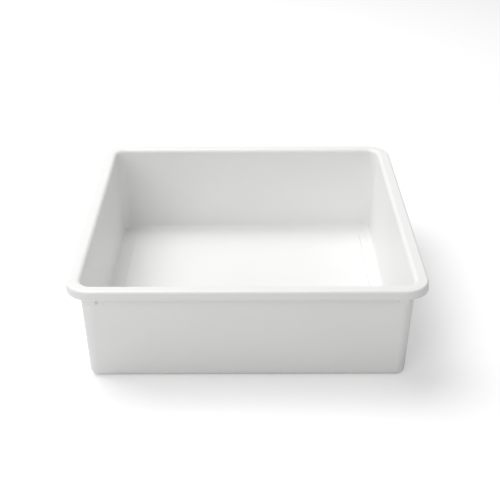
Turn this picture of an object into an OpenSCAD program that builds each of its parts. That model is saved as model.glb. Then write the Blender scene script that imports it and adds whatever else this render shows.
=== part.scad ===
// Open storage tray for a refrigerator shelf.
// One moulding: leaning walls, a floor that stands on a foot ring, and a flanged rim with a
// turned-down skirt that gussets brace near the corners.
// Millimetres, +Z up. The origin is the middle of the resting face.

/* [Overall] */
// Width over the rim, left to right
rim_w = 350; // [240:1:460]
// Depth over the rim, front to back
rim_d = 360; // [240:1:500]
// Height from the resting face to the top of the rim
tray_h = 108; // [60:1:180]

/* [Walls and floor] */
// Thickness of the walls
wall_t = 1.8; // [1.4:0.1:3]
// Thickness of the floor
floor_t = 2.2; // [1.6:0.1:4]
// Lean of the walls away from upright, in degrees
draft = 2.5; // [1:0.1:6]
// Radius of the inside corners in plan, where the walls meet the floor
floor_corner_r = 7.5; // [6:0.5:30]
// Radius of the inside bend between the walls and the floor
floor_bend_r = 5; // [2:0.25:5.5]
// Radius of the outside bend between the walls and the resting face
base_bend_r = 6.5; // [2:0.25:6.5]

/* [Rim] */
// Reach of the rim, from its outer face to the inside of the walls
rim_reach = 14.1; // [12:0.1:24]
// Thickness of the rim's flat top
rim_t = 2; // [1.5:0.1:3]
// Rounding of the mouth, from the rim's top into the walls
mouth_r = 4.5; // [2:0.25:6]
// Rounding of the rim's outer top edge
rim_edge_r = 2.5; // [1:0.25:3.5]
// Rounding of the two corners in the channel under the rim
channel_r = 1; // [0.5:0.1:2]

/* [Skirt] */
// Height of the turned-down skirt, from the rim's top to its lower edge
skirt_h = 9.4; // [8:0.1:16]
// Thickness of the skirt
skirt_t = 1.8; // [1.4:0.1:3]
// How far the lip along the skirt's lower edge stands out
lip_out = 0.4; // [0.2:0.1:1]
// Height of the lip's upright face
lip_h = 1.2; // [1:0.1:3]
// Rounding of the lip's lower edges
lip_r = 0.8; // [0.3:0.1:0.9]

/* [Foot ring] */
// Width of the flat ring that the tray rests on
foot_w = 9; // [5:0.5:20]
// Height of the panel inside the ring above the resting face
foot_h = 1.2; // [0.5:0.1:3]
// Width of the slope between the ring and the panel
foot_slope = 2; // [1:0.25:4]
// Corner radius of the panel in plan
panel_corner_r = 12; // [8:1:40]
// Radius of the moulding gate's pad in the middle of the panel
gate_r = 4; // [2:0.5:8]
// Height of the gate's pad
gate_h = 0.4; // [0.2:0.1:0.5]

/* [Gussets] */
// Width of a gusset where it leaves the wall
gusset_w = 12.5; // [8:0.5:20]
// Width of its crest under the rim
gusset_crest = 2; // [1:0.25:4]
// How far the gusset stands out of the wall under the rim
gusset_head = 6.5; // [3:0.25:7]
// How far it still stands out at its lower end
gusset_toe = 2; // [0.5:0.25:2.5]
// Depth of its lower end below the rim's top
gusset_drop = 20.4; // [14:0.2:40]
// Distance of its middle past the start of the corner's round
gusset_shift = 2; // [0:0.5:3]

/* [Hidden] */
// Facets of a full circle in plan, and the angle of one step along a bend of the section
$fn = 64;
bend_step = 11.25;
// Overshoot of a cut past the face that it opens
over = 1;
// Plan radius of the rim's outer face. The corners of floor, walls and rim turn round one axis,
// so every plan radius grows with the lean and with the reach of the rim. A mould is
// dimensioned to a hundredth, so the axes are placed to that.
rim_r = hundredth(floor_corner_r + (tray_h - floor_t) * tan(draft) + rim_reach);
skirt_r = rim_r - lip_out;
skirt_z = tray_h - skirt_h;
// Distances between the corner axes
span_x = rim_w - 2 * rim_r;
span_y = rim_d - 2 * rim_r;
// The bends at the floor, limited by the corner that they turn round
floor_bend = min(floor_bend_r, in_face(floor_t));
base_bend = min(base_bend_r, out_face(0));
// Inset of the foot ring's inner edge from the line between two corner axes
ring_in = hundredth(foot_w - bend(base_corner(), [0, 0], wall_top(), base_bend)[0][0]);

// Value kept to a hundredth of a millimetre
function hundredth(value) = round(100 * value) / 100;

// Inside face of the wall at height z, as a distance from the corner's axis
function in_face(z) = rim_r - rim_reach - (tray_h - z) * tan(draft);

// Outside face of the wall at height z, as a distance from the corner's axis
function out_face(z) = in_face(z) + wall_t / cos(draft);

// Sharp corners of the section: under the wall, and where the wall meets the rim's underside
function base_corner() = [out_face(0), 0];
function wall_top() = [out_face(tray_h - rim_t), tray_h - rim_t];

// Unit vector from point a to point b
function toward(a, b) = (b - a) / norm(b - a);

// Points of the bend of radius r that rounds corner p, from the side that runs to point a
// to the side that runs to point b
function bend(p, a, b, r) =
    let (
        half = acos(toward(p, a) * toward(p, b)) / 2,
        middle = p + toward([0, 0], toward(p, a) + toward(p, b)) * r / sin(half),
        first = p + toward(p, a) * r / tan(half) - middle,
        last = p + toward(p, b) * r / tan(half) - middle,
        turn = (atan2(last[1], last[0]) - atan2(first[1], first[0]) + 540) % 360 - 180,
        steps = ceil(abs(turn) / bend_step)
    )
    [
        for (i = [0 : steps])
            let (angle = atan2(first[1], first[0]) + turn * i / steps)
                middle + r * [cos(angle), sin(angle)]
    ];

// Closed outline through corners [x, y, radius], each rounded by its own radius
function outline(corners) =
    let (n = len(corners))
    [
        for (i = [0 : n - 1])
            let (
                p = [corners[i][0], corners[i][1]],
                a = [corners[(i + n - 1) % n][0], corners[(i + n - 1) % n][1]],
                b = [corners[(i + 1) % n][0], corners[(i + 1) % n][1]]
            )
                each corners[i][2] > 0 ? bend(p, a, b, corners[i][2]) : [p]
    ];

// Carries a section round a rectangle with rounded corners. The section's x is the distance
// from the corner's axis, and its y is the height.
module carried(x, y) {
    for (k = [0 : 3])
        let (along = k % 2 == 0 ? y : x, across = k % 2 == 0 ? x : y)
            rotate([0, 0, 90 * k])
                translate([across / 2, along / 2, 0]) {
                    rotate([90, 0, 0])
                        linear_extrude(along)
                            children();
                    rotate_extrude(angle = 90)
                        children();
                }
}

// A carried section, with the rectangle between the corner axes filled from low to high
module filled(x, y, low, high) {
    carried(x, y)
        children();
    translate([-x / 2, -y / 2, low])
        cube([x, y, high - low]);
}

// Section of the outside: base bend, wall, channel under the rim, skirt with its lip, rim edge
module outside_section() {
    polygon(outline([
        [0, 0, 0],
        [base_corner()[0], base_corner()[1], base_bend],
        [wall_top()[0], wall_top()[1], channel_r],
        [skirt_r - skirt_t, tray_h - rim_t, channel_r],
        [skirt_r - skirt_t, skirt_z, lip_r],
        [rim_r, skirt_z, lip_r],
        [rim_r, skirt_z + lip_h, 0],
        [skirt_r, skirt_z + lip_h + lip_out, lip_out],
        [skirt_r, tray_h, rim_edge_r],
        [0, tray_h, 0]
    ]));
}

// Section of the hollow: bend at the floor, leaning walls, and the rounding of the mouth
module hollow_section() {
    floor_corner = [in_face(floor_t), floor_t];
    brink = [in_face(tray_h), tray_h];
    mouth = bend(brink, floor_corner, [rim_r, tray_h], mouth_r);
    polygon(concat(
        [[0, floor_t]],
        bend(floor_corner, [0, floor_t], brink, floor_bend),
        mouth,
        [[mouth[len(mouth) - 1][0], tray_h + over], [0, tray_h + over]]
    ));
}

// The panel inside the foot ring, foot_h tall from height low, with its edge run down by skirted
module panel(low, skirted) {
    x = span_x - 2 * (ring_in + panel_corner_r);
    y = span_y - 2 * (ring_in + panel_corner_r);
    filled(x, y, low - skirted, low + foot_h)
        polygon([
            [0, low - skirted],
            [panel_corner_r, low - skirted],
            [panel_corner_r, low],
            [panel_corner_r - foot_slope, low + foot_h],
            [0, low + foot_h]
        ]);
}

// One gusset against the front wall, near its +X end, where its side view and its plan cross.
// It runs into the wall, and the hollow trims it.
module gusset() {
    top_z = tray_h - rim_t / 2;
    toe_z = tray_h - gusset_drop;
    root = in_face(toe_z) - gusset_w / 2;
    foot = out_face(top_z);
    head = foot + gusset_head;
    side_view = [
        [root, toe_z],
        [out_face(toe_z) + gusset_toe, toe_z],
        [head, top_z],
        [root, top_z]
    ];
    plan = [
        [-gusset_w / 2, -root],
        [-gusset_w / 2, -foot],
        [-gusset_crest / 2, -head],
        [gusset_crest / 2, -head],
        [gusset_w / 2, -foot],
        [gusset_w / 2, -root]
    ];
    translate([span_x / 2 + gusset_shift, -span_y / 2, 0])
        intersection() {
            translate([gusset_w / 2 + over, 0, 0])
                rotate([90, 0, -90])
                    linear_extrude(gusset_w + 2 * over)
                        polygon(side_view);
            translate([0, 0, toe_z - over])
                linear_extrude(top_z - toe_z + 2 * over)
                    polygon(plan);
        }
}

// The four gussets, two at the front wall and two at the back wall
module gussets() {
    for (side = [0, 1])
        for (end = [0, 1])
            mirror([side, 0, 0])
                mirror([0, end, 0])
                    gusset();
}

// The whole moulding
module tray() {
    color("whitesmoke") {
        difference() {
            union() {
                filled(span_x, span_y, 0, tray_h)
                    outside_section();
                gussets();
            }
            filled(span_x, span_y, floor_t, tray_h + over)
                hollow_section();
            panel(0, over);
        }
        panel(floor_t, floor_t / 4);
        translate([0, 0, foot_h - gate_h])
            cylinder(r = gate_r, h = gate_h + floor_t / 2);
    }
}

tray();
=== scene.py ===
"""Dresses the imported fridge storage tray: its moulded surface, its plastic, and the studio round it."""

import logging
import math
from dataclasses import dataclass, field
from enum import Enum

import bpy
import numpy as np
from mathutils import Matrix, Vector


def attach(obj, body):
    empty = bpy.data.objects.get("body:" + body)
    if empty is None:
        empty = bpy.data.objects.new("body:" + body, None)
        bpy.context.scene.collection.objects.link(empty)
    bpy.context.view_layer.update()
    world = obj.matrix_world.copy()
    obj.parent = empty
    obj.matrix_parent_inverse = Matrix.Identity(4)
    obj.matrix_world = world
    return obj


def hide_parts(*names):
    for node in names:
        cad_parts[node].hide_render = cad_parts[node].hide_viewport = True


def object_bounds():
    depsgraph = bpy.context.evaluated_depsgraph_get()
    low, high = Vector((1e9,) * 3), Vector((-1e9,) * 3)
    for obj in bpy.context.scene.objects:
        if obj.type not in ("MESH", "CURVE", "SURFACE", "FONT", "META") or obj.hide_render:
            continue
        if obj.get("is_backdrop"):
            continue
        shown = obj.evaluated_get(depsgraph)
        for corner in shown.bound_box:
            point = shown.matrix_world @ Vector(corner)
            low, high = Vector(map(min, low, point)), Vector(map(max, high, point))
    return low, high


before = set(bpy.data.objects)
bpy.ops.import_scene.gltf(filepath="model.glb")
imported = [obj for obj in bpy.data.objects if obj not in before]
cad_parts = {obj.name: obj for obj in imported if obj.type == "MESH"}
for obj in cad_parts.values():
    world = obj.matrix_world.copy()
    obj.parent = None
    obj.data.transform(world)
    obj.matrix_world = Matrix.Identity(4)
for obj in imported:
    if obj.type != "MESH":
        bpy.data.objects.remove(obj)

LOG = logging.getLogger("tray")
MM = 0.001
TRAY_NODE = "tray"
SMALL_BEND_STEP = math.radians(8)
LIP_BEND_STEP = math.radians(9)


class Face(Enum):
    """Stretches of the moulding that the mould finishes in their own way, with how polished each is."""

    UNDERSIDE = 0.35
    OUTSIDE = 0.25
    CHANNEL = 0.3
    RIM = 1.0
    INSIDE = 0.45


@dataclass(frozen=True)
class TraySizes:
    """Sizes of the moulding in metres, as its solid has them; width, depth and height come from the frame."""

    width: float
    depth: float
    height: float
    wall: float = 1.8 * MM
    floor: float = 2.2 * MM
    draft: float = math.radians(2.5)
    floor_corner: float = 7.5 * MM
    floor_bend: float = 5 * MM
    base_bend: float = 6.5 * MM
    rim_reach: float = 14.1 * MM
    rim_thickness: float = 2 * MM
    mouth_round: float = 4.5 * MM
    rim_edge: float = 2.5 * MM
    channel_round: float = 1 * MM
    skirt_height: float = 9.4 * MM
    skirt_thickness: float = 1.8 * MM
    lip_out: float = 0.4 * MM
    lip_height: float = 1.2 * MM
    lip_round: float = 0.8 * MM
    lip_edge: float = 0.3 * MM
    foot_width: float = 9 * MM
    foot_height: float = 1.2 * MM
    foot_slope: float = 2 * MM
    foot_round: float = 0.5 * MM
    panel_corner: float = 12 * MM
    gate_radius: float = 4 * MM
    gate_height: float = 0.4 * MM
    gusset_width: float = 12.5 * MM
    gusset_crest: float = 2 * MM
    gusset_head: float = 6.5 * MM
    gusset_toe: float = 2 * MM
    gusset_drop: float = 20.4 * MM
    gusset_shift: float = 2 * MM

    @property
    def rim_radius(self) -> float:
        """Plan radius of the rim's outer face about the corner's axis, to a hundredth of a millimetre."""
        radius = self.floor_corner + (self.height - self.floor) * math.tan(self.draft) + self.rim_reach
        return round(radius, 5)

    @property
    def half_x(self) -> float:
        """Distance of the corner axes from the middle, left and right."""
        return self.width / 2 - self.rim_radius

    @property
    def half_y(self) -> float:
        """Distance of the corner axes from the middle, front and back."""
        return self.depth / 2 - self.rim_radius

    @property
    def skirt_radius(self) -> float:
        """Plan radius of the skirt's outer face above its lip."""
        return self.rim_radius - self.lip_out

    def in_face(self, z: float) -> float:
        """Distance of the wall's inside face from the corner's axis at height z."""
        return self.rim_radius - self.rim_reach - (self.height - z) * math.tan(self.draft)

    def out_face(self, z: float) -> float:
        """Distance of the wall's outside face from the corner's axis at height z."""
        return self.in_face(z) + self.wall / math.cos(self.draft)


def bend(corner: np.ndarray, before: np.ndarray, after: np.ndarray, radius: float,
         step: float = math.radians(4.5)) -> np.ndarray:
    """Rounds one corner of a section with an arc that touches both of its sides.

    The centre lies on the corner's bisector at radius / sin(half the corner's angle), and the arc's
    points are centre + radius * (cos a, sin a) for evenly spaced angles a.

    Args:
        corner: The sharp corner, as (distance from the corner's axis, height).
        before: A point on the side that comes first.
        after: A point on the side that follows.
        radius: The round's radius.
        step: Largest angle between two points of the arc.

    Returns:
        The arc's points, one a row, from the first side to the second.
    """
    to_before = (before - corner) / np.linalg.norm(before - corner)
    to_after = (after - corner) / np.linalg.norm(after - corner)
    half = math.acos(float(to_before @ to_after)) / 2
    bisector = (to_before + to_after) / np.linalg.norm(to_before + to_after)
    centre = corner + bisector * radius / math.sin(half)
    first = corner + to_before * radius / math.tan(half) - centre
    last = corner + to_after * radius / math.tan(half) - centre
    start = math.atan2(first[1], first[0])
    turn = (math.atan2(last[1], last[0]) - start + 3 * math.pi) % (2 * math.pi) - math.pi
    angles = start + turn * np.linspace(0, 1, max(2, math.ceil(abs(turn) / step)) + 1)
    return centre + radius * np.column_stack([np.cos(angles), np.sin(angles)])


def stretch(start: np.ndarray, end: np.ndarray, pitch: float, hold: float = 0.25 * MM) -> np.ndarray:
    """Points along a straight side, between two rounds that already have their own points.

    Args:
        start: Last point of the round before.
        end: First point of the round after.
        pitch: Largest distance between two points.
        hold: Distance of the outermost points from the rounds, which keeps the shading of the
            straight side flat.

    Returns:
        The points, one a row, without start and end.
    """
    length = float(np.linalg.norm(end - start))
    if length < 3 * hold:
        return np.empty((0, 2))
    inner = np.linspace(hold, length - hold, max(2, math.ceil((length - 2 * hold) / pitch) + 1))
    return start + (end - start) * inner[:, None] / length


@dataclass
class Rows:
    """Rows of the moulding's surface, from the middle of the underside round to the middle of the floor.

    Each row is a ring: a rectangle of half sizes (half_x, half_y) whose corners are rounded by reach,
    at one height. A row with circle > 0 is drawn in towards a circle of that radius about the middle.
    """

    reach: list[np.ndarray] = field(default_factory=list)
    height: list[np.ndarray] = field(default_factory=list)
    half_x: list[np.ndarray] = field(default_factory=list)
    half_y: list[np.ndarray] = field(default_factory=list)
    roundness: list[np.ndarray] = field(default_factory=list)
    circle: list[np.ndarray] = field(default_factory=list)
    polish: list[np.ndarray] = field(default_factory=list)
    wall: list[np.ndarray] = field(default_factory=list)

    def add(self, points: np.ndarray, face: Face, half: tuple[float, float],
            roundness: np.ndarray | float = 0.0, circle: np.ndarray | float = 0.0,
            carries_gussets: bool = False) -> None:
        """Adds rows.

        Args:
            points: Reach and height of each row.
            face: The stretch of the moulding that they belong to.
            half: Half sizes of their rectangle.
            roundness: 0 for the rounded rectangle, 1 for the circle.
            circle: Radius of the circle.
            carries_gussets: Whether gussets stand out of these rows.
        """
        ones = np.ones(len(points))
        self.reach.append(points[:, 0])
        self.height.append(points[:, 1])
        self.half_x.append(half[0] * ones)
        self.half_y.append(half[1] * ones)
        self.roundness.append(roundness * ones)
        self.circle.append(circle * ones)
        self.polish.append(face.value * ones)
        self.wall.append(float(carries_gussets) * ones)

    def column(self, name: str) -> np.ndarray:
        """One property of all rows, as a column that broadcasts along the rings."""
        return np.concatenate(getattr(self, name))[:, None]


@dataclass(frozen=True)
class Ring:
    """The points of one ring: which way each faces, and which side or corner it lies on.

    A point's place is (side_x * half_x + face_x * reach, side_y * half_y + face_y * reach).
    """

    side_x: np.ndarray
    side_y: np.ndarray
    face_x: np.ndarray
    face_y: np.ndarray

    @classmethod
    def around(cls, sizes: TraySizes) -> "Ring":
        """Lays out one ring, anticlockwise from the middle of the front, closest at the gussets.

        The first quarter runs along half the front, round a corner and along half a side; the
        others are its mirror images, taken in turn backwards and forwards so that the ring stays
        in order.
        """
        touch = sizes.out_face(sizes.height)
        root = sizes.gusset_width / 2 + 1 * MM
        along_from = (sizes.half_x + sizes.gusset_shift - root) / sizes.half_x
        turn_to = math.asin((sizes.gusset_shift + root) / touch)
        front = np.concatenate([
            np.linspace(0, along_from, 12, endpoint=False),
            np.linspace(along_from, 1, 16, endpoint=False),
        ])
        angles = np.concatenate([
            np.linspace(0, turn_to, 30, endpoint=False),
            np.linspace(turn_to, math.pi / 2, 16, endpoint=False),
        ])
        side = np.linspace(1, 0, 12, endpoint=False)
        side_x = np.concatenate([front, np.ones(len(angles) + len(side))])
        side_y = np.concatenate([-np.ones(len(front) + len(angles)), -side])
        face_x = np.concatenate([np.zeros(len(front)), np.sin(angles), np.ones(len(side))])
        face_y = np.concatenate([-np.ones(len(front)), -np.cos(angles), np.zeros(len(side))])
        quarter = np.stack([side_x, side_y, face_x, face_y])
        end = np.array([[1.0], [0.0], [1.0], [0.0]])
        flip_y = np.array([[1.0], [-1.0], [1.0], [-1.0]])
        flip_x = np.array([[-1.0], [1.0], [-1.0], [1.0]])
        second = np.hstack([end, (quarter * flip_y)[:, :0:-1]])
        right = np.hstack([quarter, second])
        middle_back = (quarter * flip_y)[:, :1]
        left = np.hstack([middle_back, (right * flip_x)[:, :0:-1]])
        return cls(*np.hstack([right, left]))


@dataclass(frozen=True)
class Gusset:
    """The ribs that brace the rim against the front and back walls, one near each corner."""

    sizes: TraySizes
    steepness: float = 7.0
    blend: float = 0.35 * MM

    def outward(self, along: np.ndarray, height: np.ndarray) -> np.ndarray:
        """Distance from the corner's axis that the gusset reaches.

        It is the lower of two planes' reaches: the crest leans out from the toe to the head, and
        the flanks fall from the crest to the wall at half the gusset's width. Past the root and
        below the toe it falls away steeply.

        Args:
            along: Distance along the wall from the gusset's middle.
            height: Height above the resting face.

        Returns:
            The reach, far inside the wall where there is no gusset.
        """
        s = self.sizes
        top = s.height - s.rim_thickness / 2
        toe = s.height - s.gusset_drop
        foot = s.out_face(top)
        head = foot + s.gusset_head
        low = s.out_face(toe) + s.gusset_toe
        crest = low + (head - low) * (np.maximum(height, toe) - toe) / (top - toe)
        fall = s.gusset_head / (s.gusset_width / 2 - s.gusset_crest / 2)
        aside = np.abs(along)
        flank = head - fall * np.maximum(aside - s.gusset_crest / 2, 0)
        past_root = self.steepness * np.maximum(aside - s.gusset_width / 2, 0)
        past_toe = self.steepness * np.maximum(toe - height, 0)
        return -smooth_max(-crest, -flank, self.blend) - past_root - past_toe

    def apply(self, x: np.ndarray, y: np.ndarray, rows: Rows, ring: Ring) -> np.ndarray:
        """Pushes the outer wall out to the gussets' faces, and squeezes the ceiling beside them.

        With w the wall's own reach, g the raised one and e the end of the ceiling at the skirt, a
        point at reach b goes to e - (e - b) * (e - g) / (e - w).

        Args:
            x: Place of each point, left and right; not used.
            y: Place of each point, front and back.
            rows: The rows that the points come from.
            ring: The ring that they come from.

        Returns:
            The new y of each point.
        """
        s = self.sizes
        height = rows.column("height")
        share = np.abs(ring.face_y)[None, :]
        top = s.height - s.rim_thickness
        wall = np.minimum(rows.column("reach"), s.out_face(top))
        wall = np.where(height < s.height - s.rim_thickness - s.channel_round, rows.column("reach"), wall)
        end = s.skirt_radius - s.skirt_thickness - s.channel_round
        along = (np.abs(ring.side_x) - 1) * s.half_x + np.abs(ring.face_x) * s.out_face(top)
        reach_y = np.abs(y) - s.half_y
        own = wall * share
        raised = smooth_max(own, self.outward(along[None, :] - s.gusset_shift, height), self.blend)
        limit = np.maximum(end * share, raised + 0.01 * MM)
        moved = limit - (limit - reach_y) * (limit - raised) / np.maximum(limit - own, 1e-9)
        takes = (rows.column("wall") > 0) & (share > 0.2) & (raised > own + 0.001 * MM)
        return np.where(takes, np.sign(y) * (s.half_y + moved), y)


def smooth_max(a: np.ndarray, b: np.ndarray, blend: float) -> np.ndarray:
    """The larger of two values, with the crease between them rounded over a width of blend.

    Where the values differ by less than blend, blend * (1 - |a - b| / blend)^2 / 4 is added.
    """
    near = np.maximum(1 - np.abs(a - b) / blend, 0)
    return np.maximum(a, b) + blend * near * near / 4


@dataclass
class Moulding:
    """The whole tray as one closed surface: a section carried round a rectangle with rounded corners."""

    sizes: TraySizes

    def underside(self, rows: Rows) -> None:
        """Gate pad, panel and foot ring, from the middle outwards."""
        s = self.sizes
        inset = self.ring_inset()
        half = (s.half_x - inset - s.panel_corner, s.half_y - inset - s.panel_corner)
        pad = s.foot_height - s.gate_height
        dimple = np.array([[0.15, 0.35], [0.9, 0.35], [1.15, 0.0], [2.2, 0.0]]) * MM
        rounded = np.array([[s.gate_radius - 0.3 * MM, 0], [s.gate_radius - 0.08 * MM, 0.05 * MM],
                            [s.gate_radius, 0.15 * MM], [s.gate_radius, s.gate_height - 0.05 * MM],
                            [s.gate_radius + 0.08 * MM, s.gate_height],
                            [s.gate_radius + 0.4 * MM, s.gate_height]])
        circles = np.vstack([dimple, rounded])
        flat = np.column_stack([np.full(len(circles), s.panel_corner), pad + circles[:, 1]])
        rows.add(flat, Face.UNDERSIDE, half, roundness=1.0, circle=circles[:, 0])
        shares = np.linspace(0, 1, 16)[1:-1]
        radii = s.gate_radius + (half[0] + s.panel_corner - s.gate_radius) * shares
        flat = np.tile([s.panel_corner - s.foot_slope - s.foot_round, s.foot_height], (len(shares), 1))
        rows.add(flat, Face.UNDERSIDE, half, roundness=(1 - shares) ** 0.5, circle=radii * 0.9)
        rows.add(self.slope(0.0), Face.UNDERSIDE, half)

    def ring_inset(self) -> float:
        """Inset of the foot ring's inner edge from the line between two corner axes."""
        s = self.sizes
        touch = self.base_round()[0][0]
        return round(s.foot_width - touch, 5)

    def base_round(self) -> np.ndarray:
        """The outside bend between the resting face and the wall."""
        s = self.sizes
        top = s.height - s.rim_thickness
        corner = np.array([s.out_face(0), 0.0])
        return bend(corner, np.zeros(2), np.array([s.out_face(top), top]), s.base_bend)

    def slope(self, low: float) -> np.ndarray:
        """Edge of the panel from its flat, at low plus the foot's height, down to the ring at low."""
        s = self.sizes
        upper = np.array([s.panel_corner - s.foot_slope, low + s.foot_height])
        lower = np.array([s.panel_corner, low])
        inner = np.array([0.0, low + s.foot_height])
        outer = np.array([2 * s.panel_corner, low])
        first = bend(upper, inner, lower, s.foot_round, SMALL_BEND_STEP)
        second = bend(lower, upper, outer, s.foot_round, SMALL_BEND_STEP)
        return np.vstack([first, stretch(first[-1], second[0], 1 * MM), second])

    def outside(self, rows: Rows) -> None:
        """Base bend, wall with its gussets, channel under the rim, skirt and lip, up to the rim's edge."""
        s = self.sizes
        half = (s.half_x, s.half_y)
        top = s.height - s.rim_thickness
        toe = s.height - s.gusset_drop
        skirt_low = s.height - s.skirt_height
        base = self.base_round()
        wall_top = np.array([s.out_face(top), top])
        inner_skirt = s.skirt_radius - s.skirt_thickness
        ceiling_end = np.array([inner_skirt, top])
        channel_a = bend(wall_top, base[-1], ceiling_end, s.channel_round, SMALL_BEND_STEP)
        channel_b = bend(ceiling_end, wall_top, np.array([inner_skirt, skirt_low]), s.channel_round,
                         SMALL_BEND_STEP)
        below = np.array([s.out_face(toe - 2 * MM), toe - 2 * MM])
        near_toe = np.linspace(toe - 1 * MM, toe + 1 * MM, 15)
        beside = np.concatenate([near_toe, np.linspace(toe + 1.5 * MM, top - s.channel_round - 1 * MM, 34)])
        slope = math.tan(s.draft)
        wall_rows = np.column_stack([s.out_face(0) + beside * slope, beside])
        ceiling = stretch(channel_a[-1], channel_b[0], 0.45 * MM)
        rows.add(np.vstack([base, stretch(base[-1], below, 5 * MM)]), Face.OUTSIDE, half)
        rows.add(np.vstack([wall_rows, channel_a, ceiling]), Face.OUTSIDE, half, carries_gussets=True)
        lip_in = bend(np.array([inner_skirt, skirt_low]), ceiling_end, np.array([s.rim_radius, skirt_low]),
                      s.lip_round, LIP_BEND_STEP)
        lip_top = np.array([s.rim_radius, skirt_low + s.lip_height])
        lip_out = bend(np.array([s.rim_radius, skirt_low]), np.array([inner_skirt, skirt_low]), lip_top,
                       s.lip_round, LIP_BEND_STEP)
        neck = np.array([s.skirt_radius, lip_top[1] + s.lip_out])
        lip_edge = bend(lip_top, lip_out[-1], neck, s.lip_edge, LIP_BEND_STEP)
        skirt_top = np.array([s.skirt_radius, s.height])
        lip_neck = bend(neck, lip_top, skirt_top, s.lip_out, LIP_BEND_STEP)
        edge = bend(skirt_top, neck, np.array([0.0, s.height]), s.rim_edge)
        rows.add(np.vstack([channel_b, stretch(channel_b[-1], lip_in[0], 2 * MM)]), Face.CHANNEL, half)
        rows.add(np.vstack([lip_in, lip_out, stretch(lip_out[-1], lip_edge[0], 1 * MM, 0.1 * MM), lip_edge,
                            lip_neck, stretch(lip_neck[-1], edge[0], 2 * MM), edge]), Face.RIM, half)

    def inside(self, rows: Rows) -> None:
        """Rim's top, mouth, inner wall and floor with its raised panel, to the middle."""
        s = self.sizes
        half = (s.half_x, s.half_y)
        brink = np.array([s.in_face(s.height), s.height])
        floor_corner = np.array([s.in_face(s.floor), s.floor])
        edge_end = np.array([s.skirt_radius - s.rim_edge, s.height])
        mouth = bend(brink, edge_end, floor_corner, s.mouth_round)
        foot = bend(floor_corner, brink, np.array([0.0, s.floor]), s.floor_bend)
        rows.add(np.vstack([stretch(edge_end, mouth[0], 2 * MM), mouth]), Face.RIM, half)
        rows.add(np.vstack([stretch(mouth[-1], foot[0], 5 * MM), foot]), Face.INSIDE, half)
        inset = self.ring_inset()
        inner = (s.half_x - inset - s.panel_corner, s.half_y - inset - s.panel_corner)
        rows.add(self.slope(s.floor)[::-1], Face.INSIDE, inner)
        shares = np.linspace(1, 0, 18)[1:-1]
        flat = np.tile([s.panel_corner - s.foot_slope - s.foot_round, s.floor + s.foot_height],
                       (len(shares), 1))
        radii = (inner[0] + s.panel_corner) * shares * 0.9
        rows.add(flat, Face.INSIDE, inner, roundness=(1 - shares) ** 0.5, circle=radii)

    def points(self, rows: Rows, ring: Ring) -> np.ndarray:
        """Places of all grid points, rows by ring, as an array of rows x columns x 3.

        A ring's point is (side * half + face * reach) in x and y. With roundness t it moves to
        (1 - t) times that plus t times the circle's radius in the same direction from the middle.
        """
        x = ring.side_x * rows.column("half_x") + ring.face_x * rows.column("reach")
        y = ring.side_y * rows.column("half_y") + ring.face_y * rows.column("reach")
        away = np.hypot(x, y)
        t = rows.column("roundness")
        scale = (1 - t) + t * rows.column("circle") / np.maximum(away, 1e-9)
        flat_x, flat_y = x * scale, y * scale
        flat_y = Gusset(self.sizes).apply(flat_x, flat_y, rows, ring)
        return np.stack([flat_x, flat_y, np.broadcast_to(rows.column("height"), x.shape)], axis=-1)

    def build(self) -> bpy.types.Object:
        """Makes the mesh object, with shading normals and a polish attribute.

        Returns:
            The closed surface, at the world's origin.
        """
        rows = Rows()
        self.underside(rows)
        self.outside(rows)
        self.inside(rows)
        ring = Ring.around(self.sizes)
        grid = self.points(rows, ring)
        count, around = grid.shape[:2]
        low = [0.0, 0.0, grid[0, 0, 2]]
        high = [0.0, 0.0, grid[-1, 0, 2]]
        vertices = np.vstack([grid.reshape(-1, 3), [low, high]])
        quads, triangles = grid_faces(count, around)
        mesh = bpy.data.meshes.new(TRAY_NODE + "_moulding")
        fill_mesh(mesh, vertices, quads, triangles)
        polish = np.append(np.broadcast_to(rows.column("polish"), (count, around)).ravel(),
                           [Face.UNDERSIDE.value, Face.INSIDE.value])
        layer = mesh.attributes.new("polish", "FLOAT", "POINT")
        layer.data.foreach_set("value", polish.astype(np.float32))
        return link(bpy.data.objects.new(TRAY_NODE + "_moulding", mesh))


def grid_faces(count: int, around: int) -> tuple[np.ndarray, np.ndarray]:
    """Faces of a closed surface of rings, with a pole at each end.

    Args:
        count: Number of rings.
        around: Number of points in a ring.

    Returns:
        The quads between the rings, and the triangles that join the end rings to the two poles,
        which are the last two vertices.
    """
    i, j = np.meshgrid(np.arange(count - 1), np.arange(around), indexing="ij")
    right = (j + 1) % around
    quads = np.stack([i * around + j, i * around + right, (i + 1) * around + right, (i + 1) * around + j],
                     axis=-1).reshape(-1, 4)
    k = np.arange(around)
    after = (k + 1) % around
    last = (count - 1) * around
    first_pole = count * around
    start = np.stack([np.full(around, first_pole), after, k], axis=-1)
    end = np.stack([last + k, last + after, np.full(around, first_pole + 1)], axis=-1)
    return quads, np.vstack([start, end])


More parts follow.
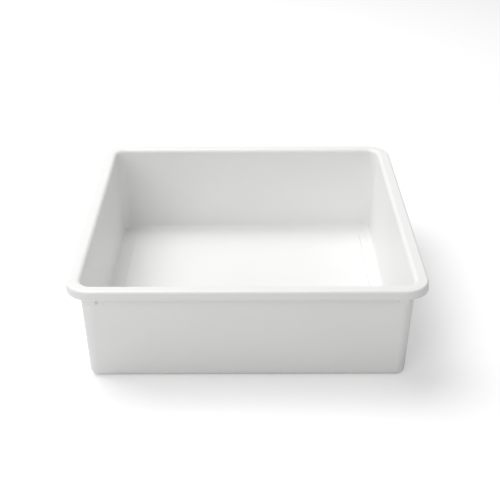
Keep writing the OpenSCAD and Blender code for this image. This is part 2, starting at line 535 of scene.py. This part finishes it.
def fill_mesh(mesh: bpy.types.Mesh, vertices: np.ndarray, quads: np.ndarray,
              triangles: np.ndarray) -> None:
    """Fills an empty mesh, smooth, with each vertex's normal the mean of its faces' weighted by area.

    Args:
        mesh: The mesh to fill.
        vertices: Places of the vertices.
        quads: Vertex numbers of the four-sided faces.
        triangles: Vertex numbers of the three-sided faces.
    """
    corners = np.concatenate([quads.ravel(), triangles.ravel()]).astype(np.int32)
    starts = np.concatenate([np.arange(len(quads)) * 4,
                             len(quads) * 4 + np.arange(len(triangles)) * 3]).astype(np.int32)
    mesh.vertices.add(len(vertices))
    mesh.vertices.foreach_set("co", vertices.astype(np.float32).ravel())
    mesh.loops.add(len(corners))
    mesh.loops.foreach_set("vertex_index", corners)
    mesh.polygons.add(len(starts))
    mesh.polygons.foreach_set("loop_start", starts)
    mesh.update(calc_edges=True)
    mesh.validate()
    mesh.polygons.foreach_set("use_smooth", np.ones(len(mesh.polygons), bool))
    normals = np.zeros_like(vertices)
    for faces in (quads, triangles):
        p = vertices[faces]
        area = np.cross(p[:, 2] - p[:, 0], p[:, -1] - p[:, 1])
        for corner in faces.T:
            np.add.at(normals, corner, area)
    length = np.linalg.norm(normals, axis=1, keepdims=True)
    mesh.normals_split_custom_set_from_vertices(normals / np.maximum(length, 1e-12))


def link(item: bpy.types.Object) -> bpy.types.Object:
    """Puts an object into the scene."""
    bpy.context.scene.collection.objects.link(item)
    return item


@dataclass(frozen=True)
class MouldedPlastic:
    """White moulded polypropylene: matt grain on the walls, smoother on the rim."""

    name: str = "white_moulded_plastic"
    light: tuple[float, float, float] = (0.870, 0.870, 0.862)
    shade: tuple[float, float, float] = (0.842, 0.842, 0.836)
    rough_grain: float = 0.46
    rough_polish: float = 0.3
    speckle: float = 0.08
    refraction: float = 1.49
    clouds: float = 60 * MM
    grain: float = 0.55 * MM
    grain_depth: float = 0.03 * MM
    grain_on_walls: float = 0.5
    grain_on_rim: float = 0.08
    wave: float = 35 * MM
    wave_depth: float = 0.12 * MM
    wave_strength: float = 0.5

    def make(self) -> bpy.types.Material:
        """Builds the node material.

        Colour: slow clouds mix two whites. Roughness: falls from the grained walls to the polished
        rim, with a little noise. Bump: mould grain, faded out where the mould is polished, over a
        slow waviness of the moulding.
        """
        material = bpy.data.materials.new(self.name)
        material.use_nodes = True
        tree = material.node_tree
        tree.nodes.clear()
        add, join = tree.nodes.new, tree.links.new
        output = add("ShaderNodeOutputMaterial")
        shader = add("ShaderNodeBsdfPrincipled")
        shader.inputs["IOR"].default_value = self.refraction
        place = add("ShaderNodeTexCoord")
        polish = add("ShaderNodeAttribute")
        polish.attribute_name = "polish"
        clouds = add("ShaderNodeTexNoise")
        clouds.inputs["Scale"].default_value = 1 / self.clouds
        clouds.inputs["Detail"].default_value = 3.0
        colour = add("ShaderNodeMix")
        colour.data_type = "RGBA"
        colour.inputs["A"].default_value = (*self.shade, 1)
        colour.inputs["B"].default_value = (*self.light, 1)
        grain = add("ShaderNodeTexNoise")
        grain.inputs["Scale"].default_value = 1 / self.grain
        grain.inputs["Detail"].default_value = 2.0
        rough = add("ShaderNodeMapRange")
        rough.inputs["To Min"].default_value = self.rough_grain
        rough.inputs["To Max"].default_value = self.rough_polish
        vary = add("ShaderNodeMath")
        vary.operation = "MULTIPLY_ADD"
        vary.inputs[1].default_value = self.speckle
        fade = add("ShaderNodeMapRange")
        fade.inputs["To Min"].default_value = self.grain_on_walls
        fade.inputs["To Max"].default_value = self.grain_on_rim
        fine = add("ShaderNodeBump")
        fine.inputs["Distance"].default_value = self.grain_depth
        wave = add("ShaderNodeTexNoise")
        wave.inputs["Scale"].default_value = 1 / self.wave
        wave.inputs["Detail"].default_value = 0.5
        slow = add("ShaderNodeBump")
        slow.inputs["Distance"].default_value = self.wave_depth
        slow.inputs["Strength"].default_value = self.wave_strength
        for texture in (clouds, grain, wave):
            join(place.outputs["Object"], texture.inputs["Vector"])
        join(clouds.outputs["Fac"], colour.inputs["Factor"])
        join(colour.outputs["Result"], shader.inputs["Base Color"])
        join(polish.outputs["Fac"], rough.inputs["Value"])
        join(polish.outputs["Fac"], fade.inputs["Value"])
        join(grain.outputs["Fac"], vary.inputs[0])
        join(rough.outputs["Result"], vary.inputs[2])
        join(vary.outputs["Value"], shader.inputs["Roughness"])
        join(wave.outputs["Fac"], slow.inputs["Height"])
        join(grain.outputs["Fac"], fine.inputs["Height"])
        join(fade.outputs["Result"], fine.inputs["Strength"])
        join(slow.outputs["Normal"], fine.inputs["Normal"])
        join(fine.outputs["Normal"], shader.inputs["Normal"])
        join(shader.outputs["BSDF"], output.inputs["Surface"])
        return material


@dataclass(frozen=True)
class StudioFloor:
    """Pale sweep under the tray, white to the camera and with the tray's shadow on it."""

    half: float = 4.0
    albedo: float = 0.8
    lift: float = 0.3

    def make(self) -> bpy.types.Object:
        """Builds the floor: a plain square at the height of the resting face."""
        mesh = bpy.data.meshes.new("studio_floor")
        h = self.half
        mesh.from_pydata([(-h, -h, 0), (h, -h, 0), (h, h, 0), (-h, h, 0)], [], [(0, 1, 2, 3)])
        floor = link(bpy.data.objects.new("studio_floor", mesh))
        mesh.materials.append(self.material())
        floor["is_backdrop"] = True
        return floor

    def material(self) -> bpy.types.Material:
        """A diffuse white, with a little light added where the camera sees it."""
        material = bpy.data.materials.new("studio_floor")
        material.use_nodes = True
        tree = material.node_tree
        tree.nodes.clear()
        add, join = tree.nodes.new, tree.links.new
        output = add("ShaderNodeOutputMaterial")
        diffuse = add("ShaderNodeBsdfDiffuse")
        diffuse.inputs["Color"].default_value = (self.albedo, self.albedo, self.albedo, 1)
        glow = add("ShaderNodeEmission")
        path = add("ShaderNodeLightPath")
        seen = add("ShaderNodeMath")
        seen.operation = "MULTIPLY"
        seen.inputs[1].default_value = self.lift
        both = add("ShaderNodeAddShader")
        join(path.outputs["Is Camera Ray"], seen.inputs[0])
        join(seen.outputs["Value"], glow.inputs["Strength"])
        join(diffuse.outputs["BSDF"], both.inputs[0])
        join(glow.outputs["Emission"], both.inputs[1])
        join(both.outputs["Shader"], output.inputs["Surface"])
        return material


@dataclass(frozen=True)
class SoftBox:
    """One soft lamp of the studio, aimed at the tray."""

    name: str
    place: tuple[float, float, float]
    size: float
    power: float
    colour: tuple[float, float, float] = (1.0, 1.0, 1.0)
    aim: tuple[float, float, float] = (0.0, 0.0, 0.05)

    def make(self) -> bpy.types.Object:
        """Builds the lamp, turned so that its face looks at the point that it aims at."""
        data = bpy.data.lights.new(self.name, "AREA")
        data.shape = "SQUARE"
        data.size = self.size
        data.energy = self.power
        data.color = self.colour
        lamp = link(bpy.data.objects.new(self.name, data))
        place = np.array(self.place)
        towards = np.array(self.aim) - place
        flat = math.hypot(towards[0], towards[1])
        lamp.location = self.place
        lamp.rotation_euler = (math.atan2(flat, -towards[2]), 0, math.atan2(-towards[0], towards[1]))
        return lamp


@dataclass(frozen=True)
class Studio:
    """Floor, lamps, even sky light and the camera of the photograph."""

    sky: float = 0.45
    camera_place: tuple[float, float, float] = (-0.0008, -0.989, 0.590)
    pitch_down: float = math.radians(28.36)
    yaw: float = math.radians(0.22)
    focal_pixels: float = 1002.0
    image_pixels: float = 500.0
    sensor: float = 36.0

    def make(self) -> None:
        """Builds everything that isn't the tray."""
        StudioFloor().make()
        for lamp in self.lamps():
            lamp.make()
        self.world()
        self.camera()

    def lamps(self) -> list[SoftBox]:
        """The lamps: a broad one overhead to the left, and a weak fill from the front left."""
        return [
            SoftBox("overhead", (-0.7, 0.5, 1.9), 1.6, 34.0),
            SoftBox("front_fill", (-0.9, -1.6, 1.0), 1.2, 9.0),
        ]

    def world(self) -> None:
        """Even white light from all round, and plain white where the camera or a gloss sees it."""
        world = bpy.data.worlds.new("studio")
        bpy.context.scene.world = world
        world.use_nodes = True
        tree = world.node_tree
        tree.nodes.clear()
        add, join = tree.nodes.new, tree.links.new
        output = add("ShaderNodeOutputWorld")
        back = add("ShaderNodeBackground")
        path = add("ShaderNodeLightPath")
        clear = add("ShaderNodeMath")
        clear.operation = "MAXIMUM"
        seen = add("ShaderNodeMath")
        seen.operation = "MAXIMUM"
        level = add("ShaderNodeMapRange")
        level.inputs["To Min"].default_value = self.sky
        level.inputs["To Max"].default_value = 1.0
        join(path.outputs["Is Glossy Ray"], clear.inputs[0])
        join(path.outputs["Is Transmission Ray"], clear.inputs[1])
        join(path.outputs["Is Camera Ray"], seen.inputs[0])
        join(clear.outputs["Value"], seen.inputs[1])
        join(seen.outputs["Value"], level.inputs["Value"])
        join(level.outputs["Result"], back.inputs["Strength"])
        join(back.outputs["Background"], output.inputs["Surface"])

    def camera(self) -> None:
        """The camera, placed and aimed as the photograph was taken."""
        data = bpy.data.cameras.new("photo_camera")
        data.sensor_width = self.sensor
        data.lens = self.focal_pixels / self.image_pixels * self.sensor
        data.clip_end = 50
        camera = link(bpy.data.objects.new("photo_camera", data))
        camera.location = self.camera_place
        camera.rotation_euler = (math.pi / 2 - self.pitch_down, 0, -self.yaw)
        bpy.context.scene.camera = camera
        bpy.context.scene.view_settings.view_transform = "Standard"


@dataclass
class Tray:
    """The tray: one moulding in one plastic."""

    sizes: TraySizes

    def build(self) -> list[bpy.types.Object]:
        """Builds the moulding's surface in place of the plain solid and dresses it."""
        moulding = Moulding(self.sizes).build()
        plastic = MouldedPlastic().make()
        moulding.data.materials.append(plastic)
        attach(moulding, "root")
        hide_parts(TRAY_NODE)
        return [moulding]


def corners(bounds: object) -> list[list[float]]:
    """A box's lowest and highest corners as plain lists of numbers."""
    return [[float(v) for v in corner] for corner in bounds]


def main() -> None:
    """Builds the tray and the studio."""
    logging.basicConfig(level=logging.INFO, format="%(name)s: %(message)s")
    cad_box = corners(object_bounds())
    size = np.subtract(cad_box[1], cad_box[0])
    tray = Tray(TraySizes(width=float(size[0]), depth=float(size[1]), height=float(size[2])))
    for piece in tray.build():
        LOG.info("%s: %d faces", piece.name, len(piece.data.polygons))
    Studio().make()


if __name__ == "__main__":
    main()
